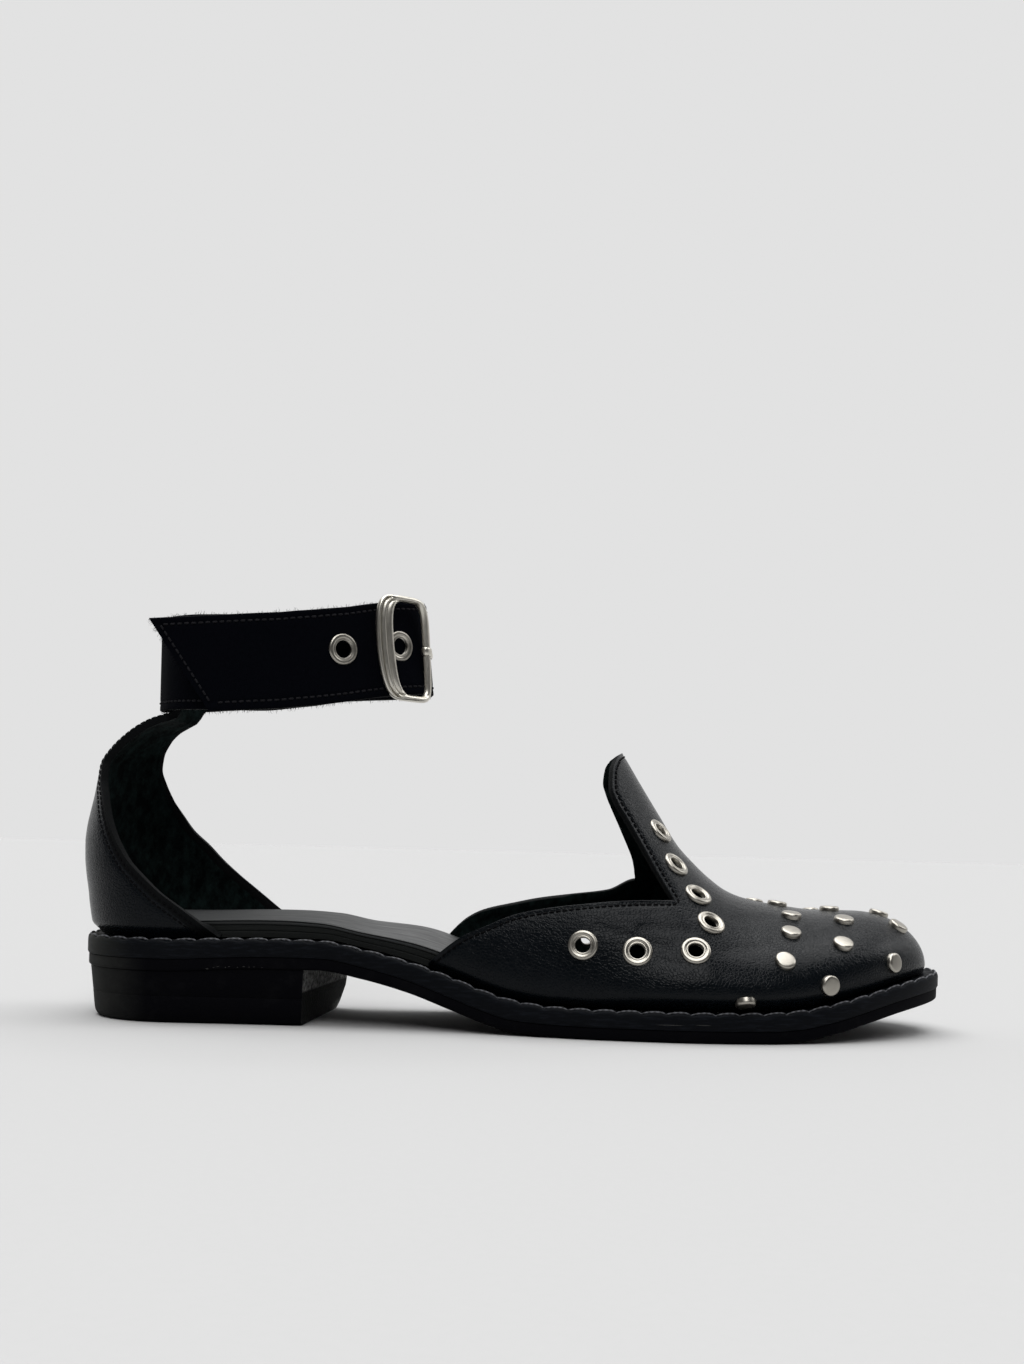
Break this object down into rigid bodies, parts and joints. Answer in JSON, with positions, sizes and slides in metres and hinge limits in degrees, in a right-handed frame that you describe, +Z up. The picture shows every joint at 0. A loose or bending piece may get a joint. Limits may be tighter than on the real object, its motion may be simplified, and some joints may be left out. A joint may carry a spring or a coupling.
{
  "type": "shoe",
  "caption": "Black leather flat shoe for the right foot, with a low studded vamp, a high tab, an open waist, a stacked heel and a buckled ankle strap on a raised heel counter.",
  "frame": {"origin": "on the floor, under the middle of the shoe's length and width", "axes": "+X to the toe, +Y to the inner side of the foot, +Z up; the shoe stands on z = 0"},
  "size_m": [0.2584, 0.0878, 0.1255],
  "materials": {
    "black_leather": "smooth grained calf, dyed black, soft sheen",
    "strap_leather": "black leather strap, stitched edges, low sheen",
    "insole_leather": "dark grey leather sock, satin",
    "welt_leather": "black stitched welt, dull edge",
    "sole_rubber": "moulded black rubber, matt",
    "heel_rubber": "black stacked heel with a rubber top piece, matt",
    "nickel": "polished nickel plate, slightly warm"
  },
  "bodies": {
    "root": {"outsole": "sole_rubber", "welt": "welt_leather", "heel_lift": "heel_rubber", "heel_top_piece": "heel_rubber", "insole": "insole_leather", "vamp": "black_leather", "heel_counter": "black_leather", "ankle_strap": "strap_leather", "buckle_frame": "nickel", "buckle_prong": "nickel", "vamp_eyelet_lateral_1": "nickel", "vamp_eyelet_medial_1": "nickel", "vamp_eyelet_lateral_2": "nickel", "vamp_eyelet_medial_2": "nickel", "vamp_eyelet_lateral_3": "nickel", "vamp_eyelet_medial_3": "nickel", "vamp_eyelet_lateral_4": "nickel", "vamp_eyelet_medial_4": "nickel", "vamp_eyelet_lateral_5": "nickel", "vamp_eyelet_medial_5": "nickel", "vamp_eyelet_lateral_6": "nickel", "vamp_eyelet_medial_6": "nickel", "vamp_eyelet_lateral_7": "nickel", "vamp_eyelet_medial_7": "nickel", "strap_eyelet_1": "nickel", "strap_eyelet_2": "nickel", "toe_stud_01": "nickel", "toe_stud_02": "nickel", "toe_stud_03": "nickel", "toe_stud_04": "nickel", "toe_stud_05": "nickel", "toe_stud_06": "nickel", "toe_stud_07": "nickel", "toe_stud_08": "nickel", "toe_stud_09": "nickel", "toe_stud_10": "nickel", "toe_stud_11": "nickel", "toe_stud_12": "nickel", "toe_stud_13": "nickel", "toe_stud_14": "nickel", "toe_stud_15": "nickel", "toe_stud_16": "nickel", "toe_stud_17": "nickel", "toe_stud_18": "nickel", "toe_stud_19": "nickel", "toe_stud_20": "nickel"}
  },
  "joints": []
}
